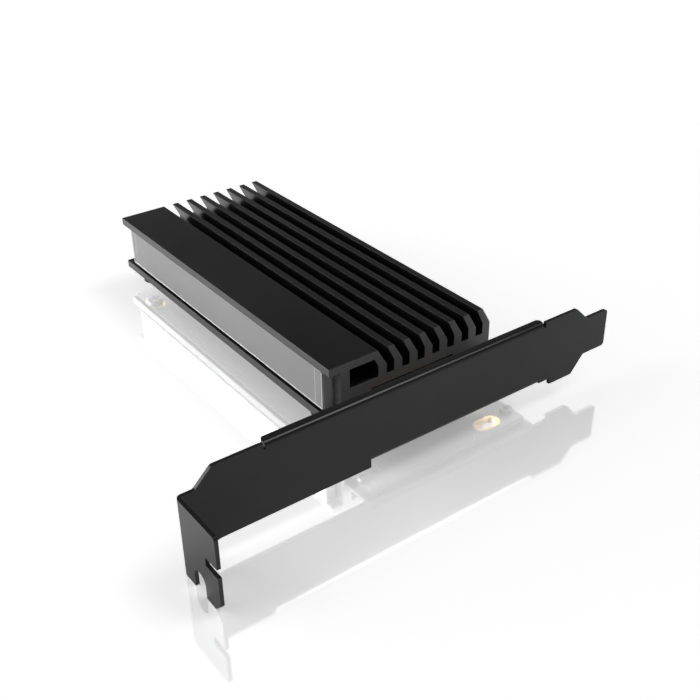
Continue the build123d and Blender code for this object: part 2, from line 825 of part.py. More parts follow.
pieces = {
    "circuit_board": circuit_board.part,
    "thermal_copper": thermal_copper.part,
    "slot_rings": slot_rings.part,
    "edge_contacts": edge_contacts.part,
    "m2_socket": m2_socket.part,
    "socket_front_contacts": socket_front_contacts.part,
    "socket_rear_contacts": socket_rear_contacts.part,
    "m2_standoff": m2_standoff.part,
    "m2_screw": m2_screw.part,
    "ssd_board": ssd_board.part,
    "ssd_edge_contacts": ssd_edge_contacts.part,
    "ssd_capacitors": ssd_capacitors.part,
    "ssd_inductors": ssd_inductors.part,
    "lower_thermal_pad": lower_thermal_pad.part,
    "upper_thermal_pad": upper_thermal_pad.part,
    "heatsink": heatsink.part,
    "light_bar": light_bar.part,
    "light_leds": light_leds.part,
    "heatsink_screws": heatsink_screws.part,
    "bracket": bracket.part,
    "bracket_screws": bracket_screws.part,
    "board_capacitors": board_capacitors.part,
    "board_resistors": board_resistors.part,
}
pieces.update(package_parts)

os.makedirs("parts", exist_ok=True)
for piece_name, piece in pieces.items():
    piece.label = piece_name
    export_step(piece, f"parts/{piece_name}.step")
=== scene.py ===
"""Looks of a slot-in adapter card that carries one stick-type solid state drive.

The card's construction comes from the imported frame. This script dresses its nodes with
procedural finishes, adds the fine work that the solids leave out, and sets up the studio.
"""

import logging
import math
from dataclasses import dataclass
from enum import Enum

import bmesh
import bpy
from mathutils import Matrix, Vector


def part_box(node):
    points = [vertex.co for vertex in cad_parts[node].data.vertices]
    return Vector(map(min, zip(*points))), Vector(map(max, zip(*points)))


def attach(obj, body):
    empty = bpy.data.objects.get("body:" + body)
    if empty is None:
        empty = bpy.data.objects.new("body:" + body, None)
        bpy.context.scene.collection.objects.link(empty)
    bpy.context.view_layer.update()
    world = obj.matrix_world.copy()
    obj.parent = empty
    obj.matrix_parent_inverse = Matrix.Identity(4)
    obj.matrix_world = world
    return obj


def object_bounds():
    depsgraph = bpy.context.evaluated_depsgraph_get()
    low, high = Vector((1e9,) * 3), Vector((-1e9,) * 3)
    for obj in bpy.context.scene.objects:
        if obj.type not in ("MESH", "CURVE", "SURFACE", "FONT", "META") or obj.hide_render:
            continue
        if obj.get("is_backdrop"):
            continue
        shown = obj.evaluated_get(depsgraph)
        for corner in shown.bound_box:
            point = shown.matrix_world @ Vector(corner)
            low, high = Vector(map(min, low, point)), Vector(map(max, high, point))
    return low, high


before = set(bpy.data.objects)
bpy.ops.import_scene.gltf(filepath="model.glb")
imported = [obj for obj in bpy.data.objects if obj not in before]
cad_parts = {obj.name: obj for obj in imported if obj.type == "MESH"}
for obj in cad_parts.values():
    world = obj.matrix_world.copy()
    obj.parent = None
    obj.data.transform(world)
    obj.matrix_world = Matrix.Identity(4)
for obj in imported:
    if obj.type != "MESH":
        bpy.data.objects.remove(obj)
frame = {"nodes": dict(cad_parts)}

log = logging.getLogger("adapter_card")

MM = 0.001
BODY = "root"

Colour = tuple[float, float, float, float]
Point = tuple[float, float]
Span = tuple[float, float]
Socket = bpy.types.NodeSocket
Loop = list[bmesh.types.BMVert]

WHITE = (1.0, 1.0, 1.0, 1.0)
EDGE_SAMPLES = 6
EDGE_BAND = (0.999, 0.9)
FACING_LIMIT = 0.7
COLOUR_BAND = (0.35, 0.65)
GLOSS_BAND = (0.3, 0.7)
LEAST_MITRE = 0.5
# A mix node numbers its colour sockets after the ones for values and vectors.
MIX_FIRST = 6
MIX_SECOND = 7
MIX_RESULT = 2


class Face(Enum):
    """The two faces of the circuit board."""

    COMPONENT = 1
    SOLDER = -1


class Effect(Enum):
    """The shader effects that several finishes share."""

    GRAIN = "grain"
    STREAKS = "streaks"
    ROUND_EDGE = "round_edge"
    DOT_GRID = "dot_grid"
    FACING = "facing"


class Graph:
    """Adds nodes to one node tree and joins their sockets."""

    def __init__(self, tree: bpy.types.NodeTree) -> None:
        """Work on a tree.

        Args:
            tree: The node tree that receives the nodes.
        """
        self.tree = tree

    def add(
        self, kind: str, inputs: dict[str | int, object] | None = None, **settings: object
    ) -> bpy.types.Node:
        """Add one node.

        Args:
            kind: The node's type name.
            inputs: Socket name or number to a value, or to a socket to link from.
            **settings: The node's own properties.

        Returns:
            The new node.
        """
        node = self.tree.nodes.new(kind)
        for name, value in settings.items():
            setattr(node, name, value)
        for key, value in (inputs or {}).items():
            self.feed(node.inputs[key], value)
        return node

    def feed(self, socket: Socket, value: object) -> None:
        """Set a socket's value, or link another socket to it.

        Args:
            socket: The socket that is set.
            value: Its value, or the socket to link from.
        """
        if isinstance(value, Socket):
            self.tree.links.new(value, socket)
        else:
            socket.default_value = value

    def math(self, operation: str, first: object, second: object = 0.0) -> Socket:
        """Return the result of one operation on two values or sockets."""
        return self.add("ShaderNodeMath", {0: first, 1: second}, operation=operation).outputs[0]

    def span(self, value: object, band: Span, result: Span = (0.0, 1.0)) -> Socket:
        """Map a value from one band onto another, clamped.

        Args:
            value: The socket to map.
            band: The values that become the two ends of the result.
            result: The results at the two ends.

        Returns:
            The mapped value's socket.
        """
        inputs = {
            "Value": value,
            "From Min": band[0],
            "From Max": band[1],
            "To Min": result[0],
            "To Max": result[1],
        }
        return self.add("ShaderNodeMapRange", inputs).outputs["Result"]

    def blend(self, factor: object, first: object, second: object) -> Socket:
        """Mix two colours.

        Args:
            factor: The second colour's share.
            first: The colour or socket at a share of 0.
            second: The colour or socket at a share of 1.

        Returns:
            The mixed colour's socket.
        """
        node = self.add("ShaderNodeMix", data_type="RGBA")
        self.feed(node.inputs["Factor"], factor)
        self.feed(node.inputs[MIX_FIRST], first)
        self.feed(node.inputs[MIX_SECOND], second)
        return node.outputs[MIX_RESULT]

    def bump(self, height: object, distance: float, normal: object = None) -> Socket:
        """Return a normal that a height bends.

        Args:
            height: The height's socket, from 0 to 1.
            distance: How far a height of 1 stands proud, in metres.
            normal: The normal that is bent, or None for the surface's own.

        Returns:
            The bent normal's socket.
        """
        inputs = {"Height": height, "Distance": distance, "Strength": 1.0}
        if normal is not None:
            inputs["Normal"] = normal
        return self.add("ShaderNodeBump", inputs).outputs["Normal"]


class Effects:
    """Builds each shared node group once and places it in materials."""

    def __init__(self) -> None:
        """Build every group."""
        self.groups = {
            Effect.GRAIN: self._grain(),
            Effect.STREAKS: self._streaks(),
            Effect.ROUND_EDGE: self._round_edge(),
            Effect.DOT_GRID: self._dot_grid(),
            Effect.FACING: self._facing(),
        }

    @staticmethod
    def _start(
        effect: Effect, inputs: dict[str, float], outputs: dict[str, str]
    ) -> tuple[bpy.types.NodeTree, Graph, bpy.types.Node, bpy.types.Node]:
        """Open a group with its sockets.

        Args:
            effect: The effect that names the group.
            inputs: Input name to its default value.
            outputs: Output name to its socket type.

        Returns:
            The group, its graph, its input node and its output node.
        """
        group = bpy.data.node_groups.new(effect.value, "ShaderNodeTree")
        for name, value in inputs.items():
            socket = group.interface.new_socket(name, in_out="INPUT", socket_type="NodeSocketFloat")
            socket.default_value = value
        for name, kind in outputs.items():
            group.interface.new_socket(name, in_out="OUTPUT", socket_type=kind)
        graph = Graph(group)
        return group, graph, graph.add("NodeGroupInput"), graph.add("NodeGroupOutput")

    def _grain(self) -> bpy.types.NodeTree:
        """Build an even grain, from 0 to 1, at a scale in grains for each metre."""
        group, graph, start, end = self._start(
            Effect.GRAIN, {"Scale": 2000.0, "Detail": 3.0}, {"Value": "NodeSocketFloat"}
        )
        place = graph.add("ShaderNodeTexCoord").outputs["Object"]
        scale, detail = start.outputs["Scale"], start.outputs["Detail"]
        inputs = {"Vector": place, "Scale": scale, "Detail": detail}
        graph.feed(end.inputs["Value"], graph.add("ShaderNodeTexNoise", inputs).outputs["Fac"])
        return group

    def _streaks(self) -> bpy.types.NodeTree:
        """Build fine lines that run along the card, as extruding or brushing leaves them."""
        group, graph, start, end = self._start(
            Effect.STREAKS, {"Across": 4000.0, "Along": 30.0}, {"Value": "NodeSocketFloat"}
        )
        place = graph.add("ShaderNodeTexCoord").outputs["Object"]
        across, along = start.outputs["Across"], start.outputs["Along"]
        scales = {"X": across, "Y": along, "Z": across}
        stretch = graph.add("ShaderNodeCombineXYZ", scales).outputs[0]
        scaled = graph.add("ShaderNodeVectorMath", {0: place, 1: stretch}, operation="MULTIPLY")
        inputs = {"Vector": scaled.outputs[0], "Scale": 1.0, "Detail": 2.0}
        noise = graph.add("ShaderNodeTexNoise", inputs)
        graph.feed(end.inputs["Value"], noise.outputs["Fac"])
        return group

    def _round_edge(self) -> bpy.types.NodeTree:
        """Build an eased edge: its normal, and a mask that is 1 on the edge."""
        outputs = {"Normal": "NodeSocketVector", "Mask": "NodeSocketFloat"}
        group, graph, start, end = self._start(Effect.ROUND_EDGE, {"Radius": 0.0002}, outputs)
        inputs = {"Radius": start.outputs["Radius"]}
        rounded = graph.add("ShaderNodeBevel", inputs, samples=EDGE_SAMPLES).outputs[0]
        flat = graph.add("ShaderNodeNewGeometry").outputs["Normal"]
        dot = graph.add("ShaderNodeVectorMath", {0: rounded, 1: flat}, operation="DOT_PRODUCT")
        graph.feed(end.inputs["Normal"], rounded)
        graph.feed(end.inputs["Mask"], graph.span(dot.outputs["Value"], EDGE_BAND))
        return group

    def _dot_grid(self) -> bpy.types.NodeTree:
        """Build a grid of round dots in the board's plane, with a mask that is 1 in a dot."""
        inputs = {"Pitch": 0.007, "Radius": 0.0002}
        group, graph, start, end = self._start(Effect.DOT_GRID, inputs, {"Mask": "NodeSocketFloat"})
        place = graph.add("ShaderNodeTexCoord").outputs["Object"]
        parts = graph.add("ShaderNodeSeparateXYZ", {0: place})
        pitch = start.outputs["Pitch"]
        squares = []
        for axis in ("X", "Y"):
            cell = graph.math("DIVIDE", parts.outputs[axis], pitch)
            centred = graph.math("SUBTRACT", graph.math("FRACT", cell), 0.5)
            squares.append(graph.math("POWER", graph.math("MULTIPLY", centred, pitch), 2.0))
        radius = graph.math("SQRT", graph.math("ADD", squares[0], squares[1]))
        graph.feed(end.inputs["Mask"], graph.math("LESS_THAN", radius, start.outputs["Radius"]))
        return group

    def _facing(self) -> bpy.types.NodeTree:
        """Build two masks: 1 on level faces, and 1 on faces that look along the card."""
        outputs = {"Level": "NodeSocketFloat", "End": "NodeSocketFloat"}
        group, graph, _, end = self._start(Effect.FACING, {}, outputs)
        normal = graph.add("ShaderNodeNewGeometry").outputs["True Normal"]
        parts = graph.add("ShaderNodeSeparateXYZ", {0: normal})
        for name, axis in (("Level", "Z"), ("End", "Y")):
            share = graph.math("ABSOLUTE", parts.outputs[axis])
            graph.feed(end.inputs[name], graph.math("GREATER_THAN", share, FACING_LIMIT))
        return group

    def place(self, graph: Graph, effect: Effect, **inputs: float) -> bpy.types.Node:
        """Place a shared effect in a material.

        Args:
            graph: The material's graph.
            effect: The effect to place.
            **inputs: Input name to value.

        Returns:
            The group's node.
        """
        node = graph.add("ShaderNodeGroup", node_tree=self.groups[effect])
        for name, value in inputs.items():
            graph.feed(node.inputs[name], value)
        return node


@dataclass(frozen=True)
class Finish:
    """A surface with a grain, a mottled second colour and eased edges, which can be painted paler
    as a painted highlight.

    Sizes are in metres and colours are linear.
    """

    name: str
    colour: Colour
    second: Colour
    roughness: Span
    metallic: float = 0.0
    specular: float = 0.5
    coat: float = 0.0
    coat_roughness: float = 0.2
    grain_scale: float = 2500.0
    grain_height: float = 4e-6
    mottle_scale: float = 60.0
    edge_radius: float = 0.15 * MM
    edge_highlight_colour: Colour | None = None
    edge_highlight_share: float = 0.0

    def material(self, effects: Effects) -> bpy.types.Material:
        """Build the material.

        Args:
            effects: The shared node groups.

        Returns:
            The finished material.
        """
        made = bpy.data.materials.new(self.name)
        made.use_nodes = True
        graph = Graph(made.node_tree)
        shader = made.node_tree.nodes["Principled BSDF"]
        shader.inputs["Metallic"].default_value = self.metallic
        shader.inputs["Specular IOR Level"].default_value = self.specular
        shader.inputs["Coat Weight"].default_value = self.coat
        shader.inputs["Coat Roughness"].default_value = self.coat_roughness
        edge = effects.place(graph, Effect.ROUND_EDGE, Radius=self.edge_radius)
        grain = effects.place(graph, Effect.GRAIN, Scale=self.mottle_scale, Detail=4.0)
        mottle = grain.outputs["Value"]
        colour = self.tint(graph, effects, mottle)
        # Paler edges: a painted highlight along the eased edges.
        if self.edge_highlight_colour is not None:
            share = graph.math("MULTIPLY", edge.outputs["Mask"], self.edge_highlight_share)
            colour = graph.blend(share, colour, self.edge_highlight_colour)
        graph.feed(shader.inputs["Base Color"], colour)
        graph.feed(shader.inputs["Roughness"], graph.span(mottle, GLOSS_BAND, self.roughness))
        graph.feed(shader.inputs["Normal"], self.relief(graph, effects, edge.outputs["Normal"]))
        return made

    def tint(self, graph: Graph, effects: Effects, mottle: Socket) -> Socket:
        """Return the base colour: the first colour, mottled with the second."""
        return graph.blend(graph.span(mottle, COLOUR_BAND), self.colour, self.second)

    def relief(self, graph: Graph, effects: Effects, normal: Socket) -> Socket:
        """Return the eased normal with the grain on it."""
        grain = effects.place(graph, Effect.GRAIN, Scale=self.grain_scale)
        return graph.bump(grain.outputs["Value"], self.grain_height, normal)


@dataclass(frozen=True)
class ExtrudedFinish(Finish):
    """Anodised metal with the die's fine lines, painted light on its outer sides and ends, and
    painted shade on its inner walls.
    """

    line_height: float = 3e-6
    line_scale: Span = (2600.0, 12.0)
    streak_scale: Span = (1800.0, 25.0)
    streak_share: float = 0.35
    # outer is painted light on the outer sides, inner is painted shade on the walls inside the
    # section, and the end colour is painted light on the end faces.
    outer: Colour = (0.068, 0.068, 0.069, 1.0)
    inner: Colour = (0.010, 0.010, 0.0104, 1.0)
    end_painted_light: Colour = (0.12, 0.12, 0.122, 1.0)
    left_rim: float = 6.0 * MM
    right_rim: float = 0.5 * MM

    def tint(self, graph: Graph, effects: Effects, mottle: Socket) -> Socket:
        """Return the dye's colour, with painted light on the outer sides and the ends and painted
        shade on the walls inside the section.

        Args:
            graph: The material's graph.
            effects: The shared node groups.
            mottle: The mottling's value.

        Returns:
            The colour's socket.
        """
        dyed = super().tint(graph, effects, mottle)
        low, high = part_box("heatsink")
        place = graph.add("ShaderNodeTexCoord").outputs["Object"]
        across = graph.add("ShaderNodeSeparateXYZ", {0: place}).outputs["X"]
        past_left = graph.math("GREATER_THAN", across, low.x + self.left_rim)
        past_right = graph.math("LESS_THAN", across, high.x - self.right_rim)
        # Painted light on the outer sides, painted shade on the walls inside the section.
        side = graph.blend(graph.math("MULTIPLY", past_left, past_right), self.outer, self.inner)
        across_scale, along_scale = self.streak_scale
        lines = effects.place(graph, Effect.STREAKS, Across=across_scale, Along=along_scale)
        die_line_share = graph.span(lines.outputs["Value"], GLOSS_BAND, (0.0, self.streak_share))
        painted_uprights = graph.blend(die_line_share, side, dyed)
        facing = effects.place(graph, Effect.FACING)
        # Painted light on the end faces; level faces keep the dye's colour.
        shown = graph.blend(facing.outputs["End"], painted_uprights, self.end_painted_light)
        return graph.blend(facing.outputs["Level"], shown, dyed)

    def relief(self, graph: Graph, effects: Effects, normal: Socket) -> Socket:
        """Return the normal with the die's lines and the etched grain."""
        across_scale, along_scale = self.line_scale
        lines = effects.place(graph, Effect.STREAKS, Across=across_scale, Along=along_scale)
        lined = graph.bump(lines.outputs["Value"], self.line_height, normal)
        return super().relief(graph, effects, lined)


@dataclass(frozen=True)
class BoardFinish(Finish):
    """Lacquered board faces over the bare laminate that shows at its edges."""

    laminate: Colour = (0.012, 0.012, 0.012, 1.0)
    fibre_gain: float = 1.6
    weave_scale: Span = (5200.0, 700.0)

    def tint(self, graph: Graph, effects: Effects, mottle: Socket) -> Socket:
        """Return the lacquer's colour on the faces and the laminate's at the edges."""
        lacquer = super().tint(graph, effects, mottle)
        across_scale, along_scale = self.weave_scale
        weave = effects.place(graph, Effect.STREAKS, Across=across_scale, Along=along_scale)
        fibre = tuple(self.fibre_gain * part for part in self.laminate[:3]) + (1.0,)
        bare = graph.blend(weave.outputs["Value"], self.laminate, fibre)
        return graph.blend(effects.place(graph, Effect.FACING).outputs["Level"], bare, lacquer)


@dataclass(frozen=True)
class CopperFieldFinish(Finish):
    """Bare plated copper with a grid of small holes, drawn as dark discs of painted shade."""

    hole_shade_colour: Colour = (0.05, 0.035, 0.015, 1.0)
    hole_pitch: float = 7.0 * MM
    hole_radius: float = 0.2 * MM

    def tint(self, graph: Graph, effects: Effects, mottle: Socket) -> Socket:
        """Return the copper's colour with the holes drawn in as dark discs of painted shade."""
        plated = super().tint(graph, effects, mottle)
        sizes = {"Pitch": self.hole_pitch, "Radius": self.hole_radius}
        holes = effects.place(graph, Effect.DOT_GRID, **sizes)
        # Dark discs for the holes: painted shade.
        return graph.blend(holes.outputs["Mask"], plated, self.hole_shade_colour)


@dataclass(frozen=True)
class PadFinish(Finish):
    """Grey silicone pad, with the paler cut sides of its carrier."""

    side: Colour = (0.75, 0.75, 0.76, 1.0)

    def tint(self, graph: Graph, effects: Effects, mottle: Socket) -> Socket:
        """Return the pad's colour on the faces and the paler one at its sides."""
        face = super().tint(graph, effects, mottle)
        return graph.blend(effects.place(graph, Effect.FACING).outputs["Level"], self.side, face)


@dataclass(frozen=True)
class AcrylicFinish(Finish):
    """Frosted clear plastic that lets part of the light through."""

    transmission: float = 0.45
    index: float = 1.49

    def material(self, effects: Effects) -> bpy.types.Material:
        """Build the material, with part of the light passing through."""
        made = super().material(effects)
        shader = made.node_tree.nodes["Principled BSDF"]
        shader.inputs["Transmission Weight"].default_value = self.transmission
        shader.inputs["IOR"].default_value = self.index
        return made


BRACKET_PAINT = Finish(
    name="bracket_paint",
    colour=(0.008, 0.008, 0.0083, 1.0),
    second=(0.011, 0.011, 0.0113, 1.0),
    roughness=(0.30, 0.36),
    specular=0.12,
    coat=0.28,
    coat_roughness=0.16,
    grain_scale=900.0,
    grain_height=2.5e-6,
    mottle_scale=25.0,
    edge_radius=0.12 * MM,
    # Paler edges: a painted highlight.
    edge_highlight_colour=(0.05, 0.05, 0.05, 1.0),
    edge_highlight_share=0.3,
)
ANODISED = ExtrudedFinish(
    name="anodised_aluminium",
    colour=(0.005, 0.005, 0.0053, 1.0),
    second=(0.008, 0.008, 0.0084, 1.0),
    roughness=(0.28, 0.35),
    specular=0.36,
    grain_scale=1500.0,
    grain_height=5e-6,
    mottle_scale=40.0,
    edge_radius=0.16 * MM,
    # Paler edges: a painted highlight.
    edge_highlight_colour=(0.06, 0.06, 0.06, 1.0),
    edge_highlight_share=0.5,
)
SOLDER_MASK = BoardFinish(
    name="black_lacquer",
    colour=(0.006, 0.006, 0.007, 1.0),
    second=(0.009, 0.009, 0.010, 1.0),
    roughness=(0.25, 0.36),
    specular=0.4,
    grain_scale=1500.0,
    grain_height=5e-7,
    edge_radius=0.06 * MM,
)
DRIVE_MASK = BoardFinish(
    name="green_lacquer",
    colour=(0.004, 0.115, 0.062, 1.0),
    second=(0.005, 0.15, 0.085, 1.0),
    roughness=(0.22, 0.34),
    specular=0.45,
    laminate=(0.03, 0.26, 0.12, 1.0),
    edge_radius=0.05 * MM,
)
COPPER_FIELD = CopperFieldFinish(
    name="plated_copper",
    colour=(0.36, 0.22, 0.06, 1.0),
    second=(0.45, 0.29, 0.09, 1.0),
    roughness=(0.28, 0.42),
    metallic=1.0,
    edge_radius=0.01 * MM,
)
GOLD = Finish(
    name="gold_plating",
    colour=(0.78, 0.52, 0.17, 1.0),
    second=(0.85, 0.60, 0.24, 1.0),
    roughness=(0.30, 0.42),
    metallic=1.0,
    grain_height=1e-6,
    edge_radius=0.02 * MM,
)
CONTACT_METAL = Finish(
    name="tinned_contacts",
    colour=(0.66, 0.65, 0.62, 1.0),
    second=(0.74, 0.73, 0.70, 1.0),
    roughness=(0.22, 0.34),
    metallic=1.0,
    grain_height=1e-6,
    edge_radius=0.02 * MM,
)
SOLDER = Finish(
    name="solder",
    colour=(0.60, 0.60, 0.61, 1.0),
    second=(0.70, 0.70, 0.71, 1.0),
    roughness=(0.18, 0.36),
    metallic=1.0,
    grain_scale=4000.0,
    grain_height=6e-6,
    edge_radius=0.05 * MM,
)
SCREW_STEEL = Finish(
    name="screw_steel",
    colour=(0.55, 0.55, 0.57, 1.0),
    second=(0.64, 0.64, 0.66, 1.0),
    roughness=(0.24, 0.36),
    metallic=1.0,
    edge_radius=0.08 * MM,
)
BLACK_SCREW = Finish(
    name="blackened_steel",
    colour=(0.035, 0.035, 0.037, 1.0),
    second=(0.05, 0.05, 0.052, 1.0),
    roughness=(0.28, 0.40),
    metallic=0.7,
    edge_radius=0.1 * MM,
    # Paler edges: a painted highlight.
    edge_highlight_colour=(0.16, 0.16, 0.16, 1.0),
    edge_highlight_share=0.6,
)
STANDOFF_METAL = Finish(
    name="standoff_plating",
    colour=(0.70, 0.64, 0.50, 1.0),
    second=(0.78, 0.72, 0.58, 1.0),
    roughness=(0.22, 0.32),
    metallic=1.0,
)
SOCKET_PLASTIC = Finish(
    name="socket_plastic",
    colour=(0.014, 0.014, 0.015, 1.0),
    second=(0.020, 0.020, 0.021, 1.0),
    roughness=(0.45, 0.6),
    grain_height=8e-6,
)
PACKAGE = Finish(
    name="package_epoxy",
    colour=(0.012, 0.012, 0.012, 1.0),
    second=(0.018, 0.018, 0.018, 1.0),
    roughness=(0.5, 0.66),
    grain_scale=9000.0,
    grain_height=1e-5,
    edge_radius=0.08 * MM,
    # Paler edges: a painted highlight.
    edge_highlight_colour=(0.05, 0.048, 0.048, 1.0),
    edge_highlight_share=0.5,
)
CERAMIC = Finish(
    name="capacitor_ceramic",
    colour=(0.36, 0.24, 0.13, 1.0),
    second=(0.44, 0.31, 0.18, 1.0),
    roughness=(0.4, 0.55),
    edge_radius=0.05 * MM,
)
FERRITE = Finish(
    name="inductor_ferrite",
    colour=(0.05, 0.05, 0.052, 1.0),
    second=(0.08, 0.08, 0.082, 1.0),
    roughness=(0.5, 0.65),
    grain_height=1e-5,
)
RESISTOR = Finish(
    name="resistor_glaze",
    colour=(0.012, 0.012, 0.014, 1.0),
    second=(0.02, 0.02, 0.022, 1.0),
    roughness=(0.25, 0.4),
)
THERMAL_PAD = PadFinish(
    name="thermal_pad",
    colour=(0.26, 0.26, 0.27, 1.0),
    second=(0.32, 0.32, 0.33, 1.0),
    roughness=(0.7, 0.85),
    grain_scale=4000.0,
    grain_height=2e-5,
    edge_radius=0.1 * MM,
)
ACRYLIC = AcrylicFinish(
    name="frosted_acrylic",
    colour=(0.36, 0.36, 0.365, 1.0),
    second=(0.40, 0.40, 0.405, 1.0),
    roughness=(0.34, 0.44),
    grain_scale=1800.0,
    grain_height=3e-6,
    edge_radius=0.32 * MM,
    # Near-white edges on the light bar: a painted highlight.
    edge_highlight_colour=(0.62, 0.62, 0.62, 1.0),
    edge_highlight_share=0.7,
)
# Pale colour of the light bar's ridges: a painted highlight.
RIDGE_HIGHLIGHT_ACRYLIC = Finish(
    name="acrylic_ridge_highlight",
    colour=(0.60, 0.60, 0.605, 1.0),
    second=(0.66, 0.66, 0.665, 1.0),
    roughness=(0.18, 0.26),
    grain_height=1e-6,
    edge_radius=0.05 * MM,
)
LAMP_BODY = Finish(
    name="lamp_body",
    colour=(0.78, 0.78, 0.75, 1.0),
    second=(0.84, 0.84, 0.81, 1.0),
    roughness=(0.35, 0.5),
    edge_radius=0.06 * MM,
)
PHOSPHOR = Finish(
    name="lamp_phosphor",
    colour=(0.80, 0.55, 0.08, 1.0),
    second=(0.86, 0.62, 0.12, 1.0),
    roughness=(0.3, 0.45),
    coat=0.6,
    grain_height=1e-5,
)
TRACK_LACQUER = Finish(
    name="lacquer_over_tracks",
    colour=(0.020, 0.020, 0.021, 1.0),
    second=(0.026, 0.026, 0.027, 1.0),
    roughness=(0.22, 0.32),
    edge_radius=0.02 * MM,
)

NODE_FINISHES = {
    "circuit_board": SOLDER_MASK,
    "thermal_copper": COPPER_FIELD,
    "slot_rings": GOLD,
    "edge_contacts": GOLD,
    "m2_socket": SOCKET_PLASTIC,
    "socket_front_contacts": CONTACT_METAL,
    "socket_rear_contacts": CONTACT_METAL,
    "m2_standoff": STANDOFF_METAL,
    "m2_screw": SCREW_STEEL,
    "ssd_board": DRIVE_MASK,
    "ssd_edge_contacts": GOLD,
    "ssd_capacitors": CERAMIC,
    "ssd_inductors": FERRITE,
    "memory_chip_near": PACKAGE,
    "cache_chip": PACKAGE,
    "controller_chip": PACKAGE,
    "memory_chip_far": PACKAGE,
    "lower_thermal_pad": THERMAL_PAD,
    "upper_thermal_pad": THERMAL_PAD,
    "heatsink": ANODISED,
    "light_bar": ACRYLIC,
    "light_leds": LAMP_BODY,
    "heatsink_screws": BLACK_SCREW,
    "bracket": BRACKET_PAINT,
    "bracket_screws": BLACK_SCREW,
    "board_capacitors": CERAMIC,
    "board_resistors": RESISTOR,
}


def new_object(name: str, data: bpy.types.ID) -> bpy.types.Object:
    """Make an object and link it to the scene.

    Args:
        name: The object's name.
        data: The mesh, lamp or camera that it holds.

    Returns:
        The new object.
    """
    made = bpy.data.objects.new(name, data)
    bpy.context.scene.collection.objects.link(made)
    return made


class PaintShop:
    """Builds each finish once and gives it to nodes and pieces."""

    def __init__(self) -> None:
        """Build the shared effects."""
        self.effects = Effects()
        self.made: dict[str, bpy.types.Material] = {}

    def material(self, finish: Finish) -> bpy.types.Material:
        """Give a finish's material, built at its first use.

        Args:
            finish: The finish.

        Returns:
            Its material.
        """
        if finish.name not in self.made:
            self.made[finish.name] = finish.material(self.effects)
        return self.made[finish.name]

    def dress_nodes(self, nodes: dict[str, bpy.types.Object]) -> None:
        """Give every node of the frame its finish.

        Args:
            nodes: Node name to its object.
        """
        for name, finish in NODE_FINISHES.items():
            for place in nodes[name].material_slots:
                place.material = self.material(finish)
            log.info("dressed %s with %s", name, finish.name)


class Bench:
    """Turns meshes into finished pieces that ride with the card."""

    def __init__(self, paint: PaintShop) -> None:
        """Work with one paint shop."""
        self.paint = paint

    def piece(
        self, name: str, mesh: bmesh.types.BMesh, finish: Finish, slot: str
    ) -> bpy.types.Object:
        """Finish one piece.

        Args:
            name: The piece's name.
            mesh: Its mesh, in the card's frame. It is freed here.
            finish: Its finish.
            slot: Not used.

        Returns:
            The piece, riding on the card.
        """
        bmesh.ops.recalc_face_normals(mesh, faces=mesh.faces)
        data = bpy.data.meshes.new(name)
        mesh.to_mesh(data)
        mesh.free()
        data.materials.append(self.paint.material(finish))
        made = new_object(name, data)
        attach(made, BODY)
        log.info("made %s with %d faces", name, len(data.polygons))
        return made


def add_plate(
    mesh: bmesh.types.BMesh, outline: list[Point], floor: float, height: float
) -> None:
    """Add a flat plate.

    Args:
        mesh: The mesh that receives it.
        outline: The plate's corners, in order.
        floor: The height of its lower face.
        height: Its thickness, or a negative one for a plate that hangs down.
    """
    lower = [mesh.verts.new((x, y, floor)) for x, y in outline]
    upper = [mesh.verts.new((x, y, floor + height)) for x, y in outline]
    mesh.faces.new(lower)
    mesh.faces.new(upper)
    join_loops(mesh, lower, upper)


def circle(mesh: bmesh.types.BMesh, centre: Vector, radius: float, steps: int) -> Loop:
    """Add the corners of a level circle.

    Args:
        mesh: The mesh that receives them.
        centre: The circle's centre.
        radius: Its radius.
        steps: How many corners it has.

    Returns:
        The corners, in order.
    """
    corners = []
    for step in range(steps):
        angle = math.tau * step / steps
        arm = Vector((math.cos(angle), math.sin(angle), 0.0))
        corners.append(mesh.verts.new(centre + radius * arm))
    return corners


def join_loops(mesh: bmesh.types.BMesh, near: Loop, far: Loop) -> None:
    """Join two closed loops with a band of faces.

    Args:
        mesh: The mesh that receives the faces.
        near: The first loop's corners.
        far: The second loop's corners, as many as the first has.
    """
    count = len(near)
    for index in range(count):
        after = (index + 1) % count
        mesh.faces.new((near[index], near[after], far[after], far[index]))


def add_ring(
    mesh: bmesh.types.BMesh, centre: Point, radii: Span, floor: float, height: float, steps: int
) -> None:
    """Add a flat ring.

    Args:
        mesh: The mesh that receives it.
        centre: The ring's centre.
        radii: Its inner and outer radius.
        floor: The height of its lower face.
        height: Its thickness.
        steps: How many sides it has.
    """
    inner, outer = radii
    ceiling = floor + height
    loops = [
        circle(mesh, Vector((*centre, level)), radius, steps)
        for radius, level in ((inner, floor), (outer, floor), (outer, ceiling), (inner, ceiling))
    ]
    for side, loop in enumerate(loops):
        join_loops(mesh, loop, loops[(side + 1) % len(loops)])


def ribbon(route: list[Point], width: float) -> list[Point]:
    """Return the outline of a flat track of one width along a route.

    Args:
        route: The track's middle line.
        width: The track's width.

    Returns:
        The outline's corners, in order.
    """
    sides: tuple[list[Point], list[Point]] = ([], [])
    for index, place in enumerate(route):
        here = Vector(place)
        before = Vector(route[max(index - 1, 0)])
        after = Vector(route[min(index + 1, len(route) - 1)])
        arriving = (here - before).normalized()
        leaving = (after - here).normalized()
        towards = arriving + leaving
        across = Vector((-towards.y, towards.x)).normalized()
        run = arriving if index else leaving
        share = max(LEAST_MITRE, abs(across.dot(Vector((-run.y, run.x)))))
        for side, sign in zip(sides, (1, -1)):
            edge = here + across * (sign * width / 2 / share)
            side.append((edge.x, edge.y))
    return sides[0] + sides[1][::-1]


